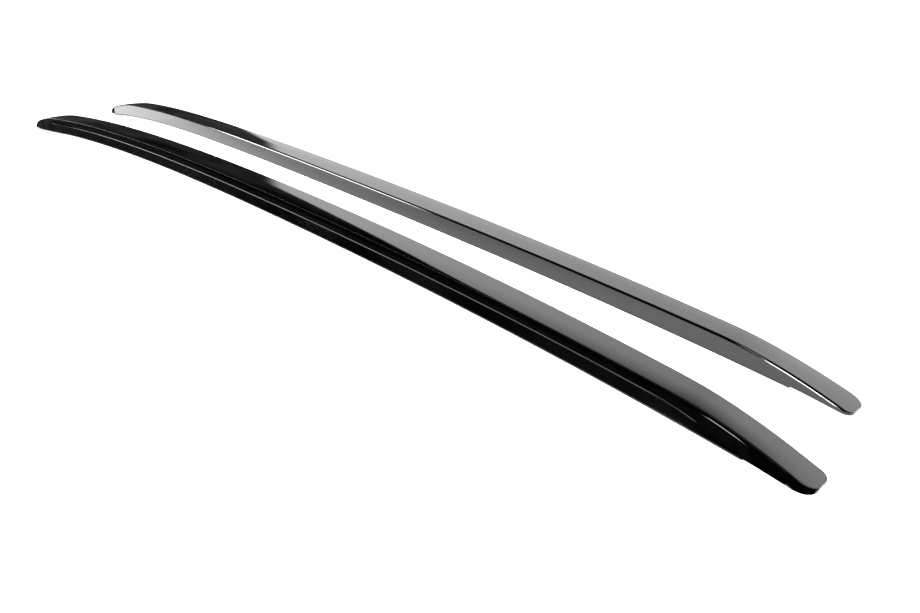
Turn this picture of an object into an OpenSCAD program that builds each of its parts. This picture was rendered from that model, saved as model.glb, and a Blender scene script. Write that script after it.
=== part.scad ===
// Pair of low roof side rails for a car, laid side by side on their feet.
// Each rail is one bent aluminium profile, open underneath, with a slot channel
// that holds five threaded blocks. A rubber seal runs under the foot, and a plug
// closes the hollow near each end. The left rail mirrors the right one.
// +X runs along the rails to the blunt end, +Z is up, and left and right are
// as seen looking towards the blunt end. The origin is under the pair's middle.

/* [Pair] */
// Distance between the two upright walls, half way along
pair_gap = 90.5; // [70:0.5:300]
// How far each rail lies ahead of or behind the middle
stagger = 14.8; // [0:0.2:60]
// How far each rail's blunt end turns in towards the other rail, in degrees
toe_in = 0.8; // [0:0.1:1.5]

/* [Rail] */
// Length of one rail
rail_l = 1900; // [1600:10:2200]
// Width of the section at its foot
rail_w = 57; // [54:0.5:66]
// Height of the section over the roof, half way along
rail_h = 26; // [24:0.5:34]
// Share of the height gained at the pointed end and lost at the blunt end
height_taper = 0.12; // [0:0.01:0.15]
// Thickness of the profile's walls
wall = 2.8; // [2:0.1:3.2]
// Gap under the foot that the seal fills
foot_gap = 2; // [1.2:0.1:3]
// Radius of the edge between the upright wall and the top
edge_r = 2.6; // [1:0.1:4]

/* [Bend] */
// Rise of the foot over its two ends
arch_rise = 46.9; // [15:0.1:60]
// How much the arch leans towards the pointed end
arch_lean = 0.23; // [0:0.01:0.3]
// How much fuller the arch is than a plain parabola
arch_fill = 0.39; // [0:0.01:0.5]
// How far the ends turn away from the other rail
end_sweep = 22; // [0:0.5:30]

/* [Crown and shoulder] */
// Where the flat top starts to fall, from the upright wall
crown_u = 20; // [10:1:30]
// Where the crown meets the shoulder, from the upright wall
shoulder_u = 43; // [40:0.5:45]
// How far the crown falls before the shoulder
crown_drop = 1.4; // [0.5:0.1:2.5]
// Radius of the shoulder
shoulder_r = 9; // [6:0.5:11]
// Slope of the face under the shoulder, in degrees
flank_slope = 58; // [45:1:65]

/* [Step line] */
// Distance of the step line in from the outer foot
step_in = 4; // [3:0.1:5]
// Height of the step line over the roof
step_z = 15.7; // [13:0.1:17]
// Width of the small land on the step line
land_w = 1.2; // [0.5:0.1:1.6]
// How far before the blunt end the step line starts to fall
step_fall_start = 160; // [130:5:180]
// How far before the blunt end the step line meets the foot
step_fall_end = 60; // [40:5:80]

/* [Pointed end] */
// Length over which the height falls to the point
point_h_l = 200; // [140:2:220]
// Length over which the width closes to the point
point_w_l = 262; // [140:2:280]
// Thickness left at the very point
point_t = 1.6; // [1:0.1:3]

/* [Blunt end] */
// Length over which the height falls to the blunt end
blunt_h_l = 147; // [120:1:190]
// Height left at the blunt end
blunt_t = 3; // [2:0.1:5]
// Share of the width lost at the blunt end
blunt_narrow = 0.28; // [0:0.01:0.3]
// Corner radius in plan next to the upright wall
blunt_in_r = 9; // [4:0.5:14]
// Corner radius in plan on the outer side
blunt_out_r = 16; // [8:0.5:24]

/* [Slot channel] */
// Inner width of the channel for the blocks
channel_w = 18; // [16:0.5:19]
// Middle of the channel, from the upright wall
channel_u = 21; // [20:0.5:21.5]
// Thickness of the channel's two ribs
rib_t = 2.2; // [1.5:0.1:3]
// Width of the slot between the lips
slot_w = 13; // [12.5:0.5:14]
// Height of the lips' undersides over the roof
lip_z = 5; // [4:0.5:7]
// Thickness of the lips
lip_t = 2; // [1.5:0.1:3]
// Length of each end that has no ribs
rib_free_l = 192; // [150:2:240]

/* [Blocks] */
// Distance between the two outermost blocks
mount_span = 1400; // [900:10:1450]
// Number of blocks in each rail
mount_count = 5; // [3:1:5]
// Length of a block
block_l = 50; // [44:1:70]
// Height of a block's slab
block_h = 8; // [6:0.5:9]
// Diameter of the round neck that reaches down through the slot
neck_d = 12; // [10:0.5:12]
// Diameter of the tapped hole, for an M8 thread
tap_d = 6.8; // [5:0.1:8]
// Depth of the tapped hole
tap_depth = 12; // [8:0.5:13]
// Distance of the set screws from the tapped hole
set_screw_x = 16; // [13:0.5:18]
// Diameter of the set screws, M5
set_screw_d = 5; // [4:0.5:6]
// Gap round a block in its channel
block_gap = 0.3; // [0.1:0.05:0.5]

/* [Seals and plugs] */
// Width of the seal strip
seal_w = 5; // [3.5:0.5:6]
// How far the seal stays back from the rail's outline
seal_inset = 0.5; // [0.2:0.1:1.5]
// How far before each end the seal stops
seal_end_l = 55; // [50:1:90]
// Film of glue between the seal and the foot
glue = 0.1; // [0.05:0.05:0.3]
// Diameter of the seal ring round each neck
ring_d = 22; // [18:0.5:26]
// Gap between a ring and its neck
ring_gap = 0.3; // [0.1:0.05:0.5]
// Length of the end plugs
plug_l = 30; // [15:1:40]
// How far an end plug lies from the end of the ribs
plug_offset = 8; // [3:1:20]
// Gap round an end plug
plug_gap = 0.3; // [0.1:0.05:0.5]

/* [Hidden] */

half_l = rail_l / 2;
end_n = 14;
mid_step = 50;
mid_n = ceil((rail_l - 2 * rib_free_l) / mid_step);
foot_run = seal_end_l - 5;
small = 0.1;
black = [0.02, 0.02, 0.025];
rubber = [0.06, 0.06, 0.06];
zinc = [0.62, 0.63, 0.64];
steel = [0.35, 0.35, 0.36];

// Ends: stations bunch towards each tip, and the ribs start and stop in 2 mm
function from_point(x) = half_l + x;
function from_blunt(x) = half_l - x;
stations = concat(
    [for (i = [0 : end_n]) -half_l + rib_free_l * pow(i / end_n, 2)],
    [for (i = [0 : mid_n])
        -half_l + rib_free_l + 2 + (rail_l - 2 * rib_free_l - 4) * i / mid_n],
    [for (i = [end_n : -1 : 0]) half_l - rib_free_l * pow(i / end_n, 2)]);
function has_ribs(x) = from_point(x) > rib_free_l + 1 && from_blunt(x) > rib_free_l + 1;

// The foot's line: height over the floor and sideways place of the upright wall
function along(x) = x / half_l;
function foot_rise(x) = arch_rise * (1 - pow(along(x), 2))
    * (1 - arch_lean * along(x) + arch_fill * pow(along(x), 2));
function sweep_y(x) = -end_sweep * pow(along(x), 2);
function rise_angle(x) = atan((foot_rise(x + 1) - foot_rise(x - 1)) / 2);
function sweep_angle(x) = atan((sweep_y(x + 1) - sweep_y(x - 1)) / 2);

// The section's height, width, foot gap and cavity at station x
function share(v, full) = min(max(v / full, 0), 1);
function full_h(x) = rail_h * (1 - height_taper * along(x));
function point_h(x) = sqrt(1 - pow(1 - share(from_point(x), point_h_l), 1.5));
function blunt_h(x) = 1 - pow(1 - share(from_blunt(x), blunt_h_l), 1.83);
function height(x) = max(blunt_t + (full_h(x) * point_h(x) - blunt_t) * blunt_h(x), point_t);
function point_w(x) = sqrt(1 - pow(1 - share(from_point(x), point_w_l), 2));
function width(x) = max(rail_w * point_w(x) * (1 - blunt_narrow * pow(max(along(x), 0), 2)),
    point_t);
function foot(x) = foot_gap * share(min(from_point(x), from_blunt(x)), foot_run);
function side_wall(x) = min(wall, 0.25 * width(x));
function cavity_h(x) = max(height(x) - foot(x) - wall, 0.3);
function ceiling_z(x) = foot(x) + cavity_h(x);
function corner(r, e) = e < r ? r - sqrt(r * r - (r - e) * (r - e)) : 0;
function in_corner(x) = corner(blunt_in_r, from_blunt(x));
function out_corner(x) = corner(blunt_out_r, from_blunt(x));

// A place across the section, squeezed between the two rounded corners in plan
function squeeze(x, u) = in_corner(x) + u * (width(x) - in_corner(x) - out_corner(x)) / width(x);
function step_keep(x) = 1 - pow(share(step_fall_start - from_blunt(x),
    step_fall_start - step_fall_end), 2);

// Outside of the section, from the inner foot over the top to the outer foot
crown_slope = atan(2 * crown_drop / (shoulder_u - crown_u));
function outside(x) =
    let (h = height(x), f = foot(x), w = width(x),
        kw = w / rail_w, kh = (h - f) / (rail_h - foot_gap),
        r = min(edge_r, 0.45 * (h - f), 0.3 * w),
        cx = shoulder_u - shoulder_r * sin(crown_slope),
        cz = -crown_drop - shoulder_r * cos(crown_slope),
        keep = max(step_keep(x), 0.05),
        su = w - keep * step_in * kw,
        sz = f + keep * (step_z - foot_gap) * kh)
    concat(
        [[0, f]],
        [for (a = [0, 30, 60, 90]) [r - r * cos(a), h - r + r * sin(a)]],
        [for (s = [0, 0.3, 0.55, 0.8, 1])
            [(crown_u + s * (shoulder_u - crown_u)) * kw, h - crown_drop * s * s * kh]],
        [for (i = [1 : 5])
            let (a = crown_slope + (flank_slope - crown_slope) * i / 5)
            [(cx + shoulder_r * sin(a)) * kw, h + (cz + shoulder_r * cos(a)) * kh]],
        [[su - keep * land_w * kw, sz + keep * 0.35 * kh], [su, sz], [w, f]]);

// Cavity outline, from the outer foot up and over to the inner foot, less a gap
function cavity_u(x, u) = side_wall(x)
    + (u - wall) * (width(x) - 2.1 * side_wall(x)) / (rail_w - 2.1 * wall);
function cavity_right(x, gap) =
    let (f = foot(x), c = cavity_h(x))
    [[width(x) - 1.1 * side_wall(x) - gap, f],
     [cavity_u(x, rail_w - step_in - 1.35 * wall) - gap, f + 0.55 * c - 0.3 * gap],
     [cavity_u(x, shoulder_u + 2) - 0.9 * gap, f + 0.84 * c - 0.6 * gap],
     [cavity_u(x, shoulder_u - 3) - 0.4 * gap, f + c - gap]];
function cavity_left(x, gap) =
    [[side_wall(x) + gap, ceiling_z(x) - gap], [side_wall(x) + gap, foot(x)]];

// The two hanging ribs with their lips. Past their ends only a faint bead is left
lip_reach = (channel_w - slot_w) / 2;
function rib(x, side) =
    let (inner = channel_u + side * channel_w / 2, outer = inner + side * rib_t)
    has_ribs(x) ? full_rib(ceiling_z(x), inner, outer, inner - side * lip_reach)
        : bead(x, inner, outer);
function full_rib(top, inner, outer, tip) =
    [[outer, top], [outer, lip_z], [tip, lip_z], [tip, lip_z + lip_t],
     [inner, lip_z + lip_t], [inner, top]];
function bead(x, inner, outer) = [for (i = [0 : 5])
    [cavity_u(x, outer + (inner - outer) * i / 5),
     ceiling_z(x) - (i == 0 || i == 5 ? 0 : min(small, 0.3 * cavity_h(x)))]];
function backwards(points) = [for (i = [len(points) - 1 : -1 : 0]) points[i]];
function section(x) = concat(outside(x), cavity_right(x, 0), rib(x, 1),
    backwards(rib(x, -1)), cavity_left(x, 0));

// Closed skin through one ring of points for each station. The two halves of a ring
// face each other, so each end is closed by a row of faces from half to half
module loft(rings) {
    n = len(rings[0]);
    last = (len(rings) - 1) * n;
    polyhedron(
        points = [for (ring = rings) for (p = ring) p],
        faces = concat(
            [for (j = [0 : n / 2 - 2]) [j, j + 1, n - 2 - j, n - 1 - j]],
            [for (i = [0 : n : last - n]) for (j = [0 : n - 1])
                [i + j, i + n + j, i + n + (j + 1) % n, i + (j + 1) % n]],
            [for (j = [0 : n / 2 - 2])
                [last + n - 1 - j, last + n - 2 - j, last + j + 1, last + j]]),
        convexity = 8);
}
function placed(x, points) = [for (p = points)
    [x, sweep_y(x) - squeeze(x, p[0]), foot_rise(x) + p[1]]];

module rail() {
    color(black) loft([for (x = stations) placed(x, section(x))]);
}

// Rubber strip under the whole foot, in one closed loop
seal_stations = [for (x = stations)
    if (from_point(x) >= seal_end_l && from_blunt(x) >= seal_end_l) x];
function seal_ring(x, u0, u1) = placed(x,
    [[u0, 0], [u0, foot(x) - glue], [u1, foot(x) - glue], [u1, 0]]);
function seal_inner(x) = seal_ring(x, seal_inset, seal_inset + seal_w);
function seal_outer(x) = seal_ring(x, width(x) - seal_inset - seal_w, width(x) - seal_inset);
module base_seal() {
    last = len(seal_stations) - 1;
    ends = [seal_stations[0], seal_stations[last]];
    color(rubber) union() {
        loft([for (x = seal_stations) seal_inner(x)]);
        loft([for (x = seal_stations) seal_outer(x)]);
        for (k = [0, 1]) let (a = ends[k], b = ends[k] + (k == 0 ? seal_w : -seal_w))
            loft([for (x = k == 0 ? [a, b] : [b, a])
                seal_ring(x, seal_inset + seal_w / 2, width(x) - seal_inset - seal_w / 2)]);
    }
}

// Moulded plug that closes the hollow just past the end of the ribs
function plug_ring(x) = placed(x, backwards(concat(cavity_right(x, plug_gap),
    cavity_left(x, plug_gap))));
module end_plug(start) {
    color(rubber) loft([for (i = [0 : 4]) plug_ring(start + plug_l * i / 4)]);
}

// Blocks sit across the foot's own slope and sweep
function mount_x(i) = -mount_span / 2 + mount_span * i / (mount_count - 1);
slab_z = lip_z + lip_t + small;
neck_z = 1;
module at_mount(i) {
    x = mount_x(i);
    translate([x, sweep_y(x) - channel_u, foot_rise(x)])
        rotate([0, -rise_angle(x), sweep_angle(x)])
            children();
}
module block_body() {
    translate([-block_l / 2, -channel_w / 2 + block_gap, slab_z])
        cube([block_l, channel_w - 2 * block_gap, block_h]);
    translate([0, 0, neck_z])
        cylinder(h = slab_z - neck_z + block_h / 2, d = neck_d, $fn = 48);
}
module mount_block(i) {
    if (i < mount_count) color(zinc) at_mount(i) difference() {
        block_body();
        translate([0, 0, neck_z - 1])
            cylinder(h = tap_depth + 1, d = tap_d, $fn = 48);
        for (s = [-1, 1]) translate([s * set_screw_x, 0, slab_z - 1])
            cylinder(h = block_h + 2, d = set_screw_d + 2 * small, $fn = 32);
    }
}
module set_screw(i) {
    top = ceiling_z(mount_x(i)) - 2 * small;
    difference() {
        translate([0, 0, slab_z + 1])
            cylinder(h = top - slab_z - 1, d = set_screw_d, $fn = 32);
        translate([0, 0, slab_z])
            cylinder(h = 4, d = set_screw_d / 2, $fn = 6);
    }
}
module set_screws() {
    color(steel) for (i = [0 : mount_count - 1]) at_mount(i)
        for (s = [-1, 1]) translate([s * set_screw_x, 0, 0]) set_screw(i);
}
module seal_rings() {
    color(rubber) for (i = [0 : mount_count - 1]) at_mount(i) difference() {
        translate([0, 0, small]) cylinder(h = lip_z - 2 * small, d = ring_d, $fn = 48);
        translate([0, 0, -1]) cylinder(h = lip_z + 2, d = neck_d + 2 * ring_gap, $fn = 48);
    }
}

// The right rail lies on the -Y side, and the left one is its mirror image
module right() {
    translate([stagger, -pair_gap / 2, 0]) rotate([0, 0, toe_in]) children();
}
module left() {
    translate([-stagger, pair_gap / 2, 0]) rotate([0, 0, -toe_in]) mirror([0, 1, 0])
        children();
}
module piece(name) {
    if (name == "rail") rail();
    if (name == "base_seal") base_seal();
    if (name == "pointed_end_plug") end_plug(-half_l + rib_free_l - plug_offset - plug_l);
    if (name == "blunt_end_plug") end_plug(half_l - rib_free_l + plug_offset);
    if (name == "mount_block_1") mount_block(0);
    if (name == "mount_block_2") mount_block(1);
    if (name == "mount_block_3") mount_block(2);
    if (name == "mount_block_4") mount_block(3);
    if (name == "mount_block_5") mount_block(4);
    if (name == "set_screws") set_screws();
    if (name == "seal_rings") seal_rings();
}

right() piece("rail");  // right_rail
right() piece("base_seal");  // right_base_seal
right() piece("pointed_end_plug");  // right_pointed_end_plug
right() piece("blunt_end_plug");  // right_blunt_end_plug
right() piece("mount_block_1");  // right_mount_block_1
right() piece("mount_block_2");  // right_mount_block_2
right() piece("mount_block_3");  // right_mount_block_3
right() piece("mount_block_4");  // right_mount_block_4
right() piece("mount_block_5");  // right_mount_block_5
right() piece("set_screws");  // right_set_screws
right() piece("seal_rings");  // right_seal_rings
left() piece("rail");  // left_rail
left() piece("base_seal");  // left_base_seal
left() piece("pointed_end_plug");  // left_pointed_end_plug
left() piece("blunt_end_plug");  // left_blunt_end_plug
left() piece("mount_block_1");  // left_mount_block_1
left() piece("mount_block_2");  // left_mount_block_2
left() piece("mount_block_3");  // left_mount_block_3
left() piece("mount_block_4");  // left_mount_block_4
left() piece("mount_block_5");  // left_mount_block_5
left() piece("set_screws");  // left_set_screws
left() piece("seal_rings");  // left_seal_rings
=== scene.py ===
import math

import bmesh
import bpy
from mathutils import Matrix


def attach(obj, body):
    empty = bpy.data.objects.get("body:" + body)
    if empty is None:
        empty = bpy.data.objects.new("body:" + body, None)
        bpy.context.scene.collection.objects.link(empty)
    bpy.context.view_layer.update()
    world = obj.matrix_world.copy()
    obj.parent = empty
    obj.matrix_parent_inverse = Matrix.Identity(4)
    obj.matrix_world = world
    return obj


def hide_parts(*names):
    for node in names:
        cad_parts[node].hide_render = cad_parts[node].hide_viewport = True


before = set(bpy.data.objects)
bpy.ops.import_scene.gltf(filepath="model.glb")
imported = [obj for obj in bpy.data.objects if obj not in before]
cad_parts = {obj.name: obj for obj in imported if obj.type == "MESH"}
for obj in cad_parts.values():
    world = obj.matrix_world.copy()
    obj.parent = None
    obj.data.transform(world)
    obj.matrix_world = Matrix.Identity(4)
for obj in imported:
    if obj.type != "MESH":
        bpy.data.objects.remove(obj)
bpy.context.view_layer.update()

# The two rails. Each real one is a single aluminium profile, extruded straight, slotted
# underneath, cut to its pointed and blunt ends and then bent to the roof's arch and sweep.
# It is held down through the blocks in its channel, and no fixing shows from above.
RAIL_L = 1.900
HALF_L = RAIL_L / 2
RAIL_W = 0.057
RAIL_H = 0.026
HEIGHT_TAPER = 0.12
WALL = 0.0028
FOOT_GAP = 0.002
FOOT_RUN = 0.050

# The inner top edge is round, but for a narrow flat from one angle to another, both in
# degrees and counted from the wall
EDGE_R = 0.0026
EDGE_R_OF_H = 0.45
EDGE_R_OF_W = 0.3
EDGE_FLAT = (9, 27)

# The crown falls towards the shoulder, which rounds over into the sloping flank
CROWN_U = 0.020
SHOULDER_U = 0.043
CROWN_DROP = 0.0014
SHOULDER_R = 0.009
FLANK_SLOPE = math.radians(58)
CROWN_SLOPE = math.atan(2 * CROWN_DROP / (SHOULDER_U - CROWN_U))

# The step line on the flank, which dies away towards the blunt end
STEP_IN = 0.004
STEP_Z = 0.0157
LAND_W = 0.0012
LAND_RISE = 0.00035
STEP_FALL_START = 0.160
STEP_FALL_END = 0.060
STEP_LEAST = 0.05

# Both ends, each with the lengths over which its height and width close. The point ends in
# a thin nib, whose inner edge turns outwards.
POINT_H_L = 0.200
POINT_H_POWER = 1.5
POINT_W_L = 0.262
POINT_T = 0.0016
POINT_OUT = 0.0155
POINT_FULL_L = 0.150
NIB_L = 0.050
TURN_L = 0.070
BLUNT_H_L = 0.147
BLUNT_H_POWER = 1.83
BLUNT_T = 0.003
BLUNT_NARROW = 0.28
BLUNT_IN_R = 0.009
BLUNT_OUT_R = 0.016

# The hollow, with the slotted channel between two ribs that stop short of the ends
FLANK_WALLS = 1.1
STEP_WALLS = 1.35
STEP_CEILING = 0.55
SHOULDER_CEILING = 0.84
SHOULDER_OUT = 0.002
SHOULDER_IN = 0.003
WALL_OF_W = 0.25
TURNED_OF_W = 0.6
LEAST_HOLLOW = 0.0003
BEAD = 0.0001
BEAD_OF_HOLLOW = 0.3
CHANNEL_U = 0.021
CHANNEL_W = 0.018
RIB_T = 0.0022
SLOT_W = 0.013
LIP_Z = 0.005
LIP_T = 0.002
RIB_FREE_L = 0.192
RIB_START_L = 0.002

END_STATIONS = 60
MIDDLE_STATIONS = 110
SHARP_FROM = math.radians(24)


def share(value, full):
    return min(max(value / full, 0.0), 1.0)


def quarter(value, full):
    return math.sqrt(1 - (1 - share(value, full)) ** 2)


def rail_height(x):
    full = RAIL_H * (1 - HEIGHT_TAPER * x / HALF_L)
    point = math.sqrt(1 - (1 - share(HALF_L + x, POINT_H_L)) ** POINT_H_POWER)
    nib = quarter(HALF_L + x, NIB_L)
    blunt = 1 - (1 - share(HALF_L - x, BLUNT_H_L)) ** BLUNT_H_POWER
    return max(BLUNT_T + (full * point * nib - BLUNT_T) * blunt, POINT_T)


def full_width(x):
    """The width with a fuller outer outline at the point, before its inner edge turns out."""
    narrowed = 1 - BLUNT_NARROW * max(x / HALF_L, 0) ** 2
    ahead = POINT_OUT * (1 - share(HALF_L + x, POINT_FULL_L))
    return RAIL_W * quarter(HALF_L + x + ahead, POINT_W_L) * narrowed


def turn_out(x):
    """How far the inner edge turns outwards to the point, in the last few centimetres."""
    return (full_width(-HALF_L) - POINT_T) * (1 - quarter(HALF_L + x, TURN_L))


def rail_width(x):
    return full_width(x) - turn_out(x)


def foot_height(x):
    return FOOT_GAP * share(min(HALF_L + x, HALF_L - x), FOOT_RUN)


def plan_corner(radius, left):
    return radius - math.sqrt(radius ** 2 - (radius - left) ** 2) if left < radius else 0.0


def squeezed(x, u):
    inner = plan_corner(BLUNT_IN_R, HALF_L - x)
    outer = plan_corner(BLUNT_OUT_R, HALF_L - x)
    width = rail_width(x)
    return turn_out(x) + inner + u * (width - inner - outer) / width


def between(start, end, shares):
    """Points on the line from start to end, at the given shares of its length."""
    return [(start[0] + s * (end[0] - start[0]), start[1] + s * (end[1] - start[1]))
            for s in shares]


def outer_skin(x):
    """The section's outline from the inner foot over the top to the outer foot, as (u, z)."""
    h, f, w = rail_height(x), foot_height(x), rail_width(x)
    kw = w / RAIL_W
    kh = (h - f) / (RAIL_H - FOOT_GAP)
    r = min(EDGE_R, EDGE_R_OF_H * (h - f), EDGE_R_OF_W * w)

    def on_edge(degrees):
        a = math.radians(degrees)
        return r - r * math.cos(a), h - r + r * math.sin(a)

    flat_in, flat_out = map(on_edge, EDGE_FLAT)
    points = between((0, f), (0, h - r), (0, 0.1, 0.95))
    points += [on_edge(0), on_edge(4)]
    points += between(flat_in, flat_out, (0, 0.07, 0.93, 1))
    points += [on_edge(degrees) for degrees in (38, 50, 63, 76, 90)]

    points += between((r, h), (CROWN_U * kw, h), (0.05,))
    crown_n = 10
    for s in [i / crown_n for i in range(crown_n + 1)]:
        u = CROWN_U + s * (SHOULDER_U - CROWN_U)
        points.append((u * kw, h - CROWN_DROP * s * s * kh))

    middle_u = SHOULDER_U - SHOULDER_R * math.sin(CROWN_SLOPE)
    middle_z = -CROWN_DROP - SHOULDER_R * math.cos(CROWN_SLOPE)
    shoulder_n = 12
    for i in range(1, shoulder_n + 1):
        a = CROWN_SLOPE + (FLANK_SLOPE - CROWN_SLOPE) * i / shoulder_n
        points.append(((middle_u + SHOULDER_R * math.sin(a)) * kw,
                       h + (middle_z + SHOULDER_R * math.cos(a)) * kh))

    shoulder_foot = points[-1]
    fallen = share(STEP_FALL_START - (HALF_L - x), STEP_FALL_START - STEP_FALL_END) ** 2
    keep = max(1 - fallen, STEP_LEAST)
    su = w - keep * STEP_IN * kw
    sz = f + keep * (STEP_Z - FOOT_GAP) * kh
    land_in = (su - keep * LAND_W * kw, sz + keep * LAND_RISE * kh)
    land_out = (su, sz)
    foot = (w, f)
    points += between(shoulder_foot, land_in, (0.1, 0.5, 0.88))
    points += between(land_in, land_out, (0, 0.2, 0.8))
    return points + between(land_out, foot, (0, 0.025, 0.5, 0.95, 1))


def has_ribs(x):
    return min(HALF_L + x, HALF_L - x) > RIB_FREE_L + RIB_START_L / 2


def inner_skin(x):
    """The hollow's outline, on from the outer foot and back to the inner one, as (u, z)."""
    w, f = rail_width(x), foot_height(x)
    side = min(WALL, WALL_OF_W * w)
    turned = min(side + turn_out(x - WALL) - turn_out(x), TURNED_OF_W * w)
    hollow = max(rail_height(x) - f - WALL, LEAST_HOLLOW)
    top = f + hollow

    def across(u):
        full = RAIL_W - (1 + FLANK_WALLS) * WALL
        return turned + (u - WALL) * (w - turned - FLANK_WALLS * side) / full

    right = [(w - FLANK_WALLS * side, f),
             (across(RAIL_W - STEP_IN - STEP_WALLS * WALL), f + STEP_CEILING * hollow),
             (across(SHOULDER_U + SHOULDER_OUT), f + SHOULDER_CEILING * hollow),
             (across(SHOULDER_U - SHOULDER_IN), top)]
    ribs = []
    for hand in (1, -1):
        inner = CHANNEL_U + hand * CHANNEL_W / 2
        outer = inner + hand * RIB_T
        tip = inner - hand * (CHANNEL_W - SLOT_W) / 2
        if has_ribs(x):
            rib = [(outer, top), (outer, LIP_Z), (tip, LIP_Z),
                   (tip, LIP_Z + LIP_T), (inner, LIP_Z + LIP_T), (inner, top)]
        else:
            bead = min(BEAD, BEAD_OF_HOLLOW * hollow)
            rib = [(across(outer + (inner - outer) * i / 5), top - (0 if i in (0, 5) else bead))
                   for i in range(6)]
        ribs += rib if hand > 0 else rib[::-1]
    return right + ribs + [(turned, top), (turned, f)]


def rail_stations():
    """Places along the rail where it gets a section, closer together towards the ends."""
    ends = [RIB_FREE_L * (i / END_STATIONS) ** 2 for i in range(END_STATIONS + 1)]
    ribs_from = RIB_FREE_L + RIB_START_L
    ribs_l = RAIL_L - 2 * ribs_from
    middle = [ribs_from + ribs_l * i / MIDDLE_STATIONS for i in range(MIDDLE_STATIONS + 1)]
    return ([-HALF_L + d for d in ends] + [-HALF_L + d for d in middle]
            + [HALF_L - d for d in reversed(ends)])


def straight_profile(name, hand):
    """The rail before bending. hand is 1 for the right rail and -1 for the left."""
    stations = rail_stations()
    outer_n = len(outer_skin(0))
    n = outer_n + len(inner_skin(0))
    verts, faces, hollow = [], [], []
    for x in stations:
        verts += [(x, -hand * squeezed(x, u), z) for u, z in outer_skin(x) + inner_skin(x)]
    for i in range(len(stations) - 1):
        for j in range(n):
            k = (j + 1) % n
            faces.append((i * n + j, (i + 1) * n + j, (i + 1) * n + k, i * n + k))
            hollow.append(j >= outer_n - 1)
    for base in (0, (len(stations) - 1) * n):
        cap = bmesh.new()
        cap_verts = [cap.verts.new((0, *verts[base + j][1:])) for j in range(n)]
        cap.verts.index_update()
        cap.faces.new(cap_verts)
        bmesh.ops.triangulate(cap, faces=cap.faces[:])
        for face in cap.faces:
            faces.append(tuple(base + v.index for v in face.verts))
            hollow.append(False)
        cap.free()
    mesh = bpy.data.meshes.new(name)
    mesh.from_pydata(verts, [], faces)
    mesh.attributes.new("hollow", "BOOLEAN", "FACE").data.foreach_set("value", hollow)
    body = bmesh.new()
    body.from_mesh(mesh)
    bmesh.ops.recalc_face_normals(body, faces=body.faces[:])
    body.to_mesh(mesh)
    body.free()
    mesh.shade_smooth()
    mesh.set_sharp_from_angle(angle=SHARP_FROM)
    obj = bpy.data.objects.new(name, mesh)
    bpy.context.collection.objects.link(obj)
    return obj


# Stretch bending. A tree of nodes lifts the straight rail to the arch, sweeps its ends
# sideways, lays it at its place on the floor and gives the hollow its thinner coat.
ARCH_RISE = 0.0469
ARCH_LEAN = 0.23
ARCH_FILL = 0.39
END_SWEEP = 0.022
PAIR_GAP = 0.0905
STAGGER = 0.0148
TOE_IN = math.radians(0.8)


def sum_node(tree, operation, a, b=0.0):
    """A Math node in the tree, fed with sockets or plain numbers. Returns its output."""
    node = tree.nodes.new("ShaderNodeMath")
    node.operation = operation
    for socket, index in ((a, 0), (b, 1)):
        if isinstance(socket, (int, float)):
            node.inputs[index].default_value = socket
        else:
            tree.links.new(socket, node.inputs[index])
    return node.outputs[0]


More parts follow.
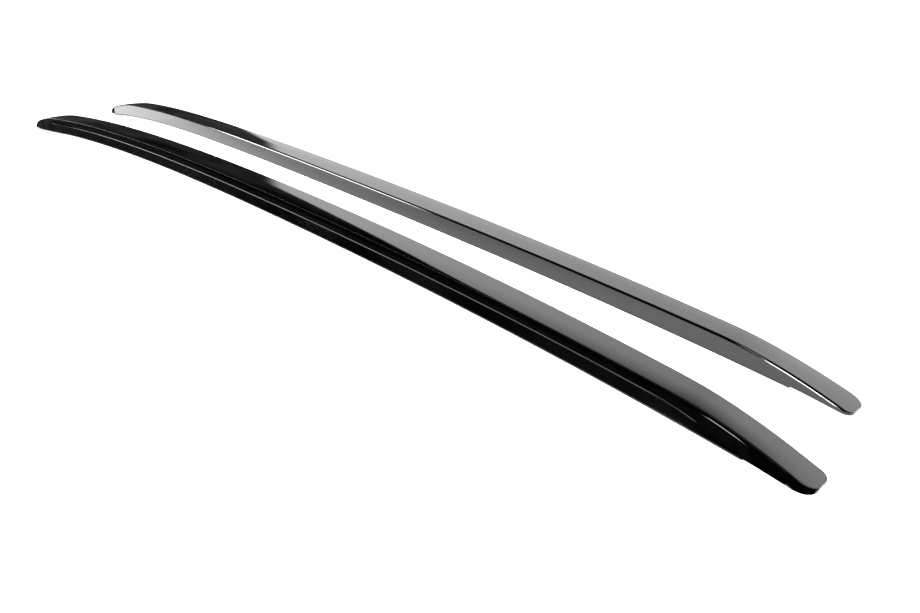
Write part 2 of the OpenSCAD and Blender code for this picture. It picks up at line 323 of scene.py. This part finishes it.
def bending_tree():
    tree = bpy.data.node_groups.new("Stretch bend", "GeometryNodeTree")
    face = tree.interface
    face.new_socket("Geometry", in_out="INPUT", socket_type="NodeSocketGeometry")
    for label in ("Half length", "Arch rise", "Arch lean", "Arch fill", "End sweep",
                  "Toe in", "Ahead", "Aside"):
        face.new_socket(label, in_out="INPUT", socket_type="NodeSocketFloat")
    for label in ("Outside coat", "Hollow coat"):
        face.new_socket(label, in_out="INPUT", socket_type="NodeSocketMaterial")
    face.new_socket("Geometry", in_out="OUTPUT", socket_type="NodeSocketGeometry")
    given = tree.nodes.new("NodeGroupInput")
    put = tree.nodes.new("NodeGroupOutput")

    def work(operation, a, b):
        return sum_node(tree, operation, a, b)

    place = tree.nodes.new("GeometryNodeInputPosition")
    split = tree.nodes.new("ShaderNodeSeparateXYZ")
    tree.links.new(place.outputs[0], split.inputs[0])
    along = work("DIVIDE", split.outputs["X"], given.outputs["Half length"])
    along_2 = work("MULTIPLY", along, along)
    leaning = work("MULTIPLY", given.outputs["Arch lean"], along)
    filling = work("MULTIPLY", given.outputs["Arch fill"], along_2)
    fullness = work("ADD", work("SUBTRACT", 1.0, leaning), filling)
    plain_arch = work("MULTIPLY", given.outputs["Arch rise"], work("SUBTRACT", 1.0, along_2))
    shift = tree.nodes.new("ShaderNodeCombineXYZ")
    tree.links.new(work("MULTIPLY", given.outputs["End sweep"], along_2), shift.inputs["Y"])
    tree.links.new(work("MULTIPLY", plain_arch, fullness), shift.inputs["Z"])
    bend = tree.nodes.new("GeometryNodeSetPosition")
    tree.links.new(given.outputs["Geometry"], bend.inputs["Geometry"])
    tree.links.new(shift.outputs[0], bend.inputs["Offset"])
    turn = tree.nodes.new("ShaderNodeCombineXYZ")
    tree.links.new(given.outputs["Toe in"], turn.inputs["Z"])
    move = tree.nodes.new("ShaderNodeCombineXYZ")
    tree.links.new(given.outputs["Ahead"], move.inputs["X"])
    tree.links.new(given.outputs["Aside"], move.inputs["Y"])
    lay = tree.nodes.new("GeometryNodeTransform")
    tree.links.new(bend.outputs[0], lay.inputs["Geometry"])
    tree.links.new(turn.outputs[0], lay.inputs["Rotation"])
    tree.links.new(move.outputs[0], lay.inputs["Translation"])
    whole = tree.nodes.new("GeometryNodeRealizeInstances")
    tree.links.new(lay.outputs[0], whole.inputs[0])
    lacquered = tree.nodes.new("GeometryNodeSetMaterial")
    tree.links.new(whole.outputs[0], lacquered.inputs["Geometry"])
    tree.links.new(given.outputs["Outside coat"], lacquered.inputs["Material"])
    under = tree.nodes.new("GeometryNodeInputNamedAttribute")
    under.data_type = "BOOLEAN"
    under.inputs["Name"].default_value = "hollow"
    coated = tree.nodes.new("GeometryNodeSetMaterial")
    tree.links.new(lacquered.outputs[0], coated.inputs["Geometry"])
    tree.links.new(under.outputs["Attribute"], coated.inputs["Selection"])
    tree.links.new(given.outputs["Hollow coat"], coated.inputs["Material"])
    tree.links.new(coated.outputs[0], put.inputs[0])
    return tree


def through_tree(obj, tree, sizes, name):
    """Puts obj through the tree and returns the result as a plain mesh object."""
    change = obj.modifiers.new("Tree", "NODES")
    change.node_group = tree
    for item in tree.interface.items_tree:
        if item.in_out == "INPUT" and item.name in sizes:
            change[item.identifier] = sizes[item.name]
    obj.update_tag()
    graph = bpy.context.evaluated_depsgraph_get()
    mesh = bpy.data.meshes.new_from_object(obj.evaluated_get(graph))
    mesh.name = name
    result = bpy.data.objects.new(name, mesh)
    bpy.context.collection.objects.link(result)
    bpy.data.objects.remove(obj)
    return result


# Coats of the rails. Outside, a deep black under clear lacquer that keeps a faint ripple
# from spraying. In the hollow, only the thin satin primer that reaches round the edges.
def grain_group():
    """Cloudy unevenness that all the finishes share, for colour, roughness and relief."""
    group = bpy.data.node_groups.new("Grain", "ShaderNodeTree")
    face = group.interface
    face.new_socket("Vector", in_out="INPUT", socket_type="NodeSocketVector")
    for label in ("Scale", "Smoothest", "Roughest", "Relief"):
        face.new_socket(label, in_out="INPUT", socket_type="NodeSocketFloat")
    for label in ("Mask", "Roughness"):
        face.new_socket(label, in_out="OUTPUT", socket_type="NodeSocketFloat")
    face.new_socket("Normal", in_out="OUTPUT", socket_type="NodeSocketVector")
    nodes, links = group.nodes, group.links
    given = nodes.new("NodeGroupInput")
    put = nodes.new("NodeGroupOutput")
    cloud = nodes.new("ShaderNodeTexNoise")
    cloud.inputs["Detail"].default_value = 3
    spread = nodes.new("ShaderNodeMapRange")
    spread.inputs["From Min"].default_value = 0.35
    spread.inputs["From Max"].default_value = 0.65
    shine = nodes.new("ShaderNodeMapRange")
    finer = nodes.new("ShaderNodeMath")
    finer.operation = "MULTIPLY"
    finer.inputs[1].default_value = 9.0
    ripple = nodes.new("ShaderNodeTexNoise")
    ripple.inputs["Detail"].default_value = 2
    bump = nodes.new("ShaderNodeBump")
    bump.inputs["Distance"].default_value = 0.0004
    links.new(given.outputs["Vector"], cloud.inputs["Vector"])
    links.new(given.outputs["Scale"], cloud.inputs["Scale"])
    links.new(cloud.outputs["Fac"], spread.inputs["Value"])
    links.new(spread.outputs["Result"], shine.inputs["Value"])
    links.new(given.outputs["Smoothest"], shine.inputs["To Min"])
    links.new(given.outputs["Roughest"], shine.inputs["To Max"])
    links.new(given.outputs["Scale"], finer.inputs[0])
    links.new(given.outputs["Vector"], ripple.inputs["Vector"])
    links.new(finer.outputs[0], ripple.inputs["Scale"])
    links.new(ripple.outputs["Fac"], bump.inputs["Height"])
    links.new(given.outputs["Relief"], bump.inputs["Strength"])
    links.new(spread.outputs["Result"], put.inputs["Mask"])
    links.new(shine.outputs["Result"], put.inputs["Roughness"])
    links.new(bump.outputs["Normal"], put.inputs["Normal"])
    return group


GRAIN = grain_group()


def finish(name, dark, light, scale, shine, relief, stretch=(1, 1, 1)):
    """A material whose colour and roughness drift between two limits with the grain."""
    mat = bpy.data.materials.new(name)
    mat.use_nodes = True
    nodes, links = mat.node_tree.nodes, mat.node_tree.links
    shader = nodes["Principled BSDF"]
    place = nodes.new("ShaderNodeTexCoord")
    draw = nodes.new("ShaderNodeMapping")
    draw.inputs["Scale"].default_value = stretch
    grain = nodes.new("ShaderNodeGroup")
    grain.node_tree = GRAIN
    grain.name = "Grain"
    grain.inputs["Scale"].default_value = scale
    grain.inputs["Smoothest"].default_value = shine[0]
    grain.inputs["Roughest"].default_value = shine[1]
    grain.inputs["Relief"].default_value = relief
    tint = nodes.new("ShaderNodeMix")
    tint.data_type = "RGBA"
    tint.name = "Tint"
    tint.inputs["A"].default_value = (*dark, 1)
    tint.inputs["B"].default_value = (*light, 1)
    links.new(place.outputs["Object"], draw.inputs["Vector"])
    links.new(draw.outputs[0], grain.inputs["Vector"])
    links.new(grain.outputs["Mask"], tint.inputs["Factor"])
    links.new(tint.outputs["Result"], shader.inputs["Base Color"])
    links.new(grain.outputs["Roughness"], shader.inputs["Roughness"])
    links.new(grain.outputs["Normal"], shader.inputs["Normal"])
    return mat


lacquer = finish("gloss_black_lacquer", (0.0003, 0.0003, 0.0004), (0.0006, 0.0006, 0.0007),
                 28, (0.035, 0.075), 0.03)
primer = finish("satin_black_primer", (0.006, 0.006, 0.007), (0.014, 0.014, 0.015),
                60, (0.3, 0.5), 0.25)

bend_tree = bending_tree()
for side, hand in (("right", 1), ("left", -1)):
    straight = straight_profile(side + "_profile", hand)
    sizes = {"Half length": HALF_L, "Arch rise": ARCH_RISE, "Arch lean": ARCH_LEAN,
             "Arch fill": ARCH_FILL, "End sweep": -hand * END_SWEEP, "Toe in": hand * TOE_IN,
             "Ahead": hand * STAGGER, "Aside": -hand * PAIR_GAP / 2,
             "Outside coat": lacquer, "Hollow coat": primer}
    rail = through_tree(straight, bend_tree, sizes, side + "_lacquered_rail")
    rail.data.attributes.remove(rail.data.attributes["hollow"])
    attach(rail, "root")
    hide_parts(side + "_rail")


# Seals. A strip of black rubber, extruded in one length and glued in a loop under the foot,
# keeps water off the roof's paint, and a moulded ring does the same round each neck.
def coat_node(node, mat):
    """Gives a node that came with the frame its material."""
    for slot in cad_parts[node].material_slots:
        slot.material = mat


strip_rubber = finish("extruded_seal_rubber", (0.010, 0.010, 0.010), (0.022, 0.022, 0.021),
                      40, (0.5, 0.72), 0.35, (0.12, 1, 1))
ring_rubber = finish("moulded_ring_rubber", (0.011, 0.011, 0.011), (0.020, 0.020, 0.020),
                     150, (0.55, 0.75), 0.3)
for side in ("right", "left"):
    coat_node(side + "_base_seal", strip_rubber)
    coat_node(side + "_seal_rings", ring_rubber)


# End plugs. Closed-cell rubber, moulded to the hollow and pushed in past the ends of the
# ribs, where they keep out water and wind noise. Only their pores mark them.
pored_foam = finish("pored_plug_foam", (0.018, 0.018, 0.019), (0.040, 0.040, 0.042),
                    90, (0.75, 0.95), 0.2)
nodes, links = pored_foam.node_tree.nodes, pored_foam.node_tree.links
pores = nodes.new("ShaderNodeTexVoronoi")
pores.inputs["Scale"].default_value = 900
pits = nodes.new("ShaderNodeBump")
pits.inputs["Strength"].default_value = 0.6
pits.inputs["Distance"].default_value = 0.0006
links.new(nodes["Mapping"].outputs[0], pores.inputs["Vector"])
links.new(pores.outputs["Distance"], pits.inputs["Height"])
links.new(nodes["Grain"].outputs["Normal"], pits.inputs["Normal"])
links.new(pits.outputs["Normal"], nodes["Principled BSDF"].inputs["Normal"])
for side in ("right", "left"):
    coat_node(side + "_pointed_end_plug", pored_foam)
    coat_node(side + "_blunt_end_plug", pored_foam)


# Mounting blocks. Machined from steel bar and zinc plated, five slide in each channel and
# take the M8 bolts that come up through the roof. Set screws jam them at their places.
zinc = finish("zinc_plated_steel", (0.46, 0.47, 0.49), (0.66, 0.66, 0.64),
              70, (0.22, 0.42), 0.2, (1, 6, 1))
zinc.node_tree.nodes["Principled BSDF"].inputs["Metallic"].default_value = 1.0
screw_steel = finish("black_oxide_steel", (0.035, 0.034, 0.034), (0.085, 0.083, 0.080),
                     220, (0.3, 0.55), 0.2)
screw_steel.node_tree.nodes["Principled BSDF"].inputs["Metallic"].default_value = 1.0
for side in ("right", "left"):
    for number in range(1, 6):
        coat_node(f"{side}_mount_block_{number}", zinc)
    coat_node(side + "_set_screws", screw_steel)


# Camera, where the photographer stood: above and behind the rails' blunt ends, looking
# along them. Its place, turn and lens were worked out from the outline of the pair.
PHOTO_W = 920
LENS_IN_PIXELS = 800
SENSOR_W = 36
CAMERA_PLACE = (1.1553, -0.6682, 0.428)
LOOKS_DOWN = 0.441
TURNED_LEFT = 0.819

camera_data = bpy.data.cameras.new("camera")
camera_data.sensor_width = SENSOR_W
camera_data.lens = LENS_IN_PIXELS / PHOTO_W * SENSOR_W
camera = bpy.data.objects.new("camera", camera_data)
camera.location = CAMERA_PLACE
camera.rotation_euler = (math.pi / 2 - LOOKS_DOWN, 0, TURNED_LEFT)
bpy.context.collection.objects.link(camera)
bpy.context.scene.camera = camera


# Floor. A light table, whose edges lie just past the pair, on a pale floor that the lacquer
# doesn't mirror, so the rails' outer flanks stay as dark as in the photograph. A white dome
# round both is seen by the camera alone.
FLOOR_HALF = 12
FLOOR_Z = -0.001
FLOOR_GLOW = 0.8
TABLE_GLOW = 1.5
TABLE_CORNERS = ((-0.81, -0.37), (1.4, -0.19), (1.4, 6), (-0.81, 6))
DOME_R, DOME_H, DOME_N = 16, 12, 48


def stage_mesh(name, verts, faces, mat):
    mesh = bpy.data.meshes.new(name)
    mesh.from_pydata(verts, [], faces)
    mesh.materials.append(mat)
    obj = bpy.data.objects.new(name, mesh)
    bpy.context.collection.objects.link(obj)
    return obj


def pale_surface(name, glow):
    mat = finish(name, (0.80, 0.80, 0.80), (0.82, 0.82, 0.82), 3, (0.85, 0.95), 0.0)
    shader = mat.node_tree.nodes["Principled BSDF"]
    shader.inputs["Specular IOR Level"].default_value = 0.1
    shader.inputs["Emission Color"].default_value = (1, 1, 1, 1)
    shader.inputs["Emission Strength"].default_value = glow
    return mat


stage_mesh("table", [(x, y, 0) for x, y in TABLE_CORNERS], [(0, 1, 2, 3)],
           pale_surface("light_table", TABLE_GLOW))
floor_corners = ((-1, -1), (1, -1), (1, 1), (-1, 1))
floor = stage_mesh("floor", [(FLOOR_HALF * x, FLOOR_HALF * y, FLOOR_Z) for x, y in floor_corners],
                   [(0, 1, 2, 3)], pale_surface("pale_floor", FLOOR_GLOW))
floor.visible_glossy = False

dome_paint = bpy.data.materials.new("white_dome")
dome_paint.use_nodes = True
dome_shader = dome_paint.node_tree.nodes["Principled BSDF"]
dome_shader.inputs["Emission Color"].default_value = (1, 1, 1, 1)
dome_shader.inputs["Emission Strength"].default_value = TABLE_GLOW
dome_verts, dome_faces = [], []
for i in range(DOME_N):
    a = 2 * math.pi * i / DOME_N
    for z in (-1, DOME_H):
        dome_verts.append((DOME_R * math.cos(a), DOME_R * math.sin(a), z))
    k = (i + 1) % DOME_N
    dome_faces.append((2 * i, 2 * k, 2 * k + 1, 2 * i + 1))
dome_faces.append(tuple(range(1, 2 * DOME_N, 2)))
dome = stage_mesh("dome", dome_verts, dome_faces, dome_paint)
dome.visible_glossy = dome.visible_diffuse = dome.visible_transmission = False
dome.visible_shadow = False


# Light. One wide soft box stands behind the pair, a long strip light hangs over it and
# follows the rails, and a bar, a card and two lamps shine from the camera's side. The sun of
# a big window overhead, which the lacquer doesn't mirror, keeps the floor white.
def soft_box_group():
    """A box of light seen from the middle of the room, by its bearing and its height."""
    group = bpy.data.node_groups.new("Soft box", "ShaderNodeTree")
    face = group.interface
    for label in ("Bearing", "Height", "Left", "Right", "Bottom", "Top",
                  "Side blur", "End blur", "Slant", "Bend"):
        face.new_socket(label, in_out="INPUT", socket_type="NodeSocketFloat")
    face.new_socket("Mask", in_out="OUTPUT", socket_type="NodeSocketFloat")
    nodes, links = group.nodes, group.links
    given = nodes.new("NodeGroupInput")
    put = nodes.new("NodeGroupOutput")

    def work(operation, a, b):
        return sum_node(group, operation, a, b)

    def ramp(value, start, blur):
        node = nodes.new("ShaderNodeMapRange")
        node.interpolation_type = "SMOOTHSTEP"
        links.new(value, node.inputs["Value"])
        links.new(start, node.inputs["From Min"])
        links.new(work("ADD", start, blur), node.inputs["From Max"])
        return node.outputs["Result"]

    def falling(value, end, blur):
        return work("SUBTRACT", 1, ramp(value, work("SUBTRACT", end, blur), blur))

    bearing, height = given.outputs["Bearing"], given.outputs["Height"]
    side_blur, end_blur = given.outputs["Side blur"], given.outputs["End blur"]
    above_bend = work("MAXIMUM", work("SUBTRACT", height, given.outputs["Bend"]), 0)
    leaned = work("ADD", bearing, work("MULTIPLY", given.outputs["Slant"], above_bend))
    across = work("MULTIPLY", ramp(bearing, given.outputs["Right"], side_blur),
                  falling(leaned, given.outputs["Left"], side_blur))
    upward = work("MULTIPLY", ramp(height, given.outputs["Bottom"], end_blur),
                  falling(height, given.outputs["Top"], end_blur))
    links.new(work("MULTIPLY", across, upward), put.inputs["Mask"])
    return group


SOFT_BOX = soft_box_group()
room = bpy.data.worlds.new("room")
bpy.context.scene.world = room
room.use_nodes = True
sky_nodes, sky_links = room.node_tree.nodes, room.node_tree.links
sky_nodes.clear()


def sky_work(operation, a, b=0.0):
    return sum_node(room.node_tree, operation, a, b)


look = sky_nodes.new("ShaderNodeTexCoord")
split = sky_nodes.new("ShaderNodeSeparateXYZ")
sky_links.new(look.outputs["Generated"], split.inputs[0])
bearing = sky_work("DEGREES", sky_work("ARCTAN2", split.outputs["Y"], split.outputs["X"]))
height = sky_work("DEGREES", sky_work("ARCSINE", split.outputs["Z"]))


def soft_box(strength, **sizes):
    """A soft box of the given strength. Its sizes are bearings and heights in degrees."""
    box = sky_nodes.new("ShaderNodeGroup")
    box.node_tree = SOFT_BOX
    sky_links.new(bearing, box.inputs["Bearing"])
    sky_links.new(height, box.inputs["Height"])
    for label, size in sizes.items():
        box.inputs[label.replace("_", " ")].default_value = size
    return sky_work("MULTIPLY", box.outputs["Mask"], strength)


BRIGHTEST = 4


def brightness(source, steps):
    """Brightness by angle, as a ramp through pairs of degrees and brightness."""
    low, high = steps[0][0], steps[-1][0]
    share_of = sky_nodes.new("ShaderNodeMapRange")
    share_of.inputs["From Min"].default_value = low
    share_of.inputs["From Max"].default_value = high
    sky_links.new(source, share_of.inputs["Value"])
    curve = sky_nodes.new("ShaderNodeValToRGB")
    elements = curve.color_ramp.elements
    while len(elements) < len(steps):
        elements.new(0.5)
    for element, (angle, value) in zip(elements, steps):
        element.position = (angle - low) / (high - low)
        element.color = (*[value / BRIGHTEST] * 3, 1)
    sky_links.new(share_of.outputs["Result"], curve.inputs["Fac"])
    return sky_work("MULTIPLY", curve.outputs["Color"], BRIGHTEST)


def eased(value, low, high, at_low, at_high):
    """Goes smoothly from at_low to at_high while value goes from low to high."""
    node = sky_nodes.new("ShaderNodeMapRange")
    node.interpolation_type = "SMOOTHSTEP"
    for label, size in (("From Min", low), ("From Max", high),
                        ("To Min", at_low), ("To Max", at_high)):
        node.inputs[label].default_value = size
    sky_links.new(value, node.inputs["Value"])
    return node.outputs["Result"]


# The wide box is brightest half way up and towards the blunt ends, as the tops show
wall_light = soft_box(1.0, Left=150.8, Right=62, Bottom=-12, Top=60, Side_blur=1.4, End_blur=12,
                      Slant=0.55, Bend=18.5)
wall_upward = brightness(height, ((-6, 1.7), (8, 1.8), (15, 2.05), (20, 2.3), (25, 2.55),
                                  (30, 2.75), (36, 2.7), (42, 2.3), (50, 1.3)))
wall_round = brightness(bearing, ((96, 1.4), (108, 1.0), (151, 1.0)))
wall_light = sky_work("MULTIPLY", sky_work("MULTIPLY", wall_light, wall_upward), wall_round)


# The strip light bends with the rails, so that the narrow step mirrors it all along. Its
# middle line swings aside with the height at which it hangs.
STRIP_CORE, STRIP_HALF_W = 0.007, 0.015
strip_middle = sky_work("ADD", eased(split.outputs["Z"], 0.27, 0.80, 0.152, 0.288),
                        eased(split.outputs["Z"], -0.12, 0.21, 0.08, 0.0))
strip_off = sky_work("ABSOLUTE", sky_work("SUBTRACT", split.outputs["Y"], strip_middle))
strip_light = sky_work("MULTIPLY", eased(strip_off, STRIP_CORE, STRIP_HALF_W, 1.0, 0.0),
                       soft_box(3.6, Left=178, Right=60, Bottom=-12, Top=86,
                                Side_blur=2, End_blur=4))

# The bar and the side lamp light the flat along the far rail's inner edge, the end lamp
# draws a line on the near rail's shoulder, and the card lifts the near flank a little
low_bar = soft_box(45, Left=-134, Right=-157, Bottom=3.2, Top=7.6, Side_blur=4, End_blur=0.8)
low_card = soft_box(4.0, Left=-154, Right=-171, Bottom=-24, Top=-6, Side_blur=3, End_blur=4)
side_lamp = soft_box(80, Left=-88, Right=-101, Bottom=4, Top=12, Side_blur=1.5, End_blur=2)
end_lamp = soft_box(14, Left=-93, Right=-108, Bottom=52, Top=66, Side_blur=2, End_blur=2)

# What the lacquer mirrors elsewhere is the room, dim and uneven
shade = sky_nodes.new("ShaderNodeTexNoise")
shade.inputs["Scale"].default_value = 9
shade.inputs["Detail"].default_value = 4
sky_links.new(look.outputs["Generated"], shade.inputs["Vector"])
dim_walls = sky_work("MULTIPLY", eased(height, 20, 30, 1.0, 0.1),
                     eased(shade.outputs["Fac"], 0.3, 0.7, 0.01, 0.12))

light = wall_light
for more in (strip_light, low_bar, low_card, side_lamp, end_lamp, dim_walls):
    light = sky_work("ADD", light, more)
sky = sky_nodes.new("ShaderNodeBackground")
sky_links.new(light, sky.inputs["Strength"])
sky_out = sky_nodes.new("ShaderNodeOutputWorld")
sky_links.new(sky.outputs[0], sky_out.inputs["Surface"])

SUN_ANGLE = math.radians(80)
SUN_ENERGY = 4.6
sun_data = bpy.data.lights.new("window_sun", "SUN")
sun_data.angle = SUN_ANGLE
sun_data.energy = SUN_ENERGY
sun = bpy.data.objects.new("window_sun", sun_data)
bpy.context.collection.objects.link(sun)
sun.visible_glossy = False
bpy.context.scene.view_settings.view_transform = "Standard"
